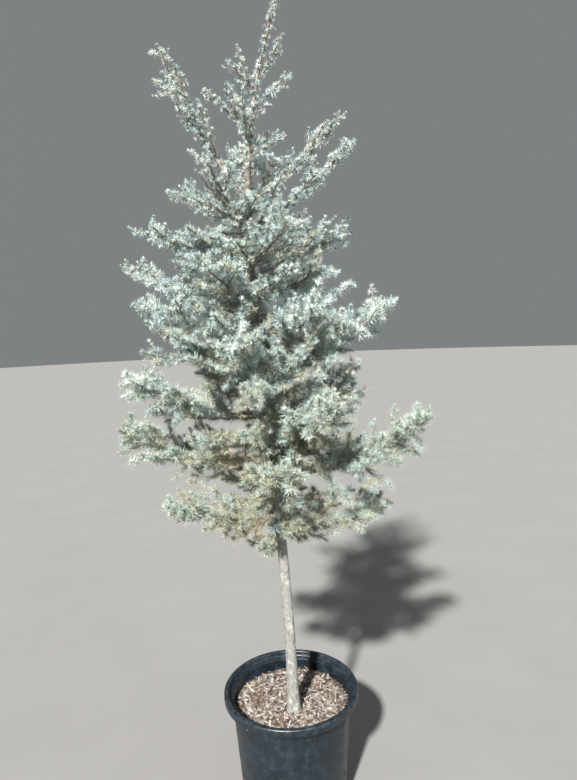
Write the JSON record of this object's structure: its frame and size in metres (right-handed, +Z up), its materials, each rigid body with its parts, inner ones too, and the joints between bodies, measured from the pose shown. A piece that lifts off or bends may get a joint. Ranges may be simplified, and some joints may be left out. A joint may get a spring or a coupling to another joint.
{
  "type": "potted atlas cedar tree",
  "caption": "Young blue-needled atlas cedar with a slim swaying trunk, tiered boughs and a leader, in a round nursery pot filled with bark mix.",
  "frame": {"origin": "centre of the pot's flat underside", "axes": "+Z up along the tree, +X to the right of the front view, -Y towards the front"},
  "size_m": [0.8852, 0.7065, 2.3893],
  "materials": {
    "pot_plastic": "dusty satin black",
    "potting_mix": "loose shredded bark",
    "trunk_bark": "smooth grey bark with fine marks",
    "bough_bark": "grey-brown bark",
    "needles": "waxy silver-blue"
  },
  "bodies": {
    "root": {"pot": "pot_plastic", "potting_mix": "potting_mix", "trunk": "trunk_bark", "bough_tier2_back": "bough_bark", "bough_tier2_left": "bough_bark", "bough_tier2_right": "bough_bark", "bough_tier3_back": "bough_bark", "bough_tier3_left": "bough_bark", "bough_tier4_back": "bough_bark", "bough_tier4_right": "bough_bark", "bough_tier5_back": "bough_bark", "bough_tier6_left": "bough_bark", "bough_tier9_left": "bough_bark", "bough_tier9_right": "bough_bark", "foliage_tier1_back": "needles", "foliage_tier1_front": "needles", "foliage_tier1_left": "needles", "foliage_tier1_right": "needles", "foliage_tier2_back": "needles", "foliage_tier2_front": "needles", "foliage_tier2_left": "needles", "foliage_tier2_right": "needles", "foliage_tier3_back": "needles", "foliage_tier3_front": "needles", "foliage_tier3_left": "needles", "foliage_tier3_right": "needles", "foliage_tier4_back": "needles", "foliage_tier4_front": "needles", "foliage_tier4_left": "needles", "foliage_tier4_right": "needles", "foliage_tier5_back": "needles", "foliage_tier5_front": "needles", "foliage_tier5_left": "needles", "foliage_tier5_right": "needles", "foliage_tier6_back": "needles", "foliage_tier6_front": "needles", "foliage_tier6_left": "needles", "foliage_tier6_right": "needles", "foliage_tier7_back": "needles", "foliage_tier7_front": "needles", "foliage_tier7_left": "needles", "foliage_tier7_right": "needles", "foliage_tier8_back": "needles", "foliage_tier8_front": "needles", "foliage_tier8_left": "needles", "foliage_tier8_right": "needles", "foliage_tier9_back": "needles", "foliage_tier9_left": "needles", "foliage_tier9_right": "needles", "leader_foliage": "needles", "leader_shoot_1": "needles", "leader_shoot_2": "needles", "leader_shoot_3": "needles", "leader_shoot_4": "needles", "leader_shoot_5": "needles", "leader_shoot_6": "needles", "leader_shoot_7": "needles", "leader_shoot_8": "needles", "low_shoot": "needles"}
  },
  "joints": []
}
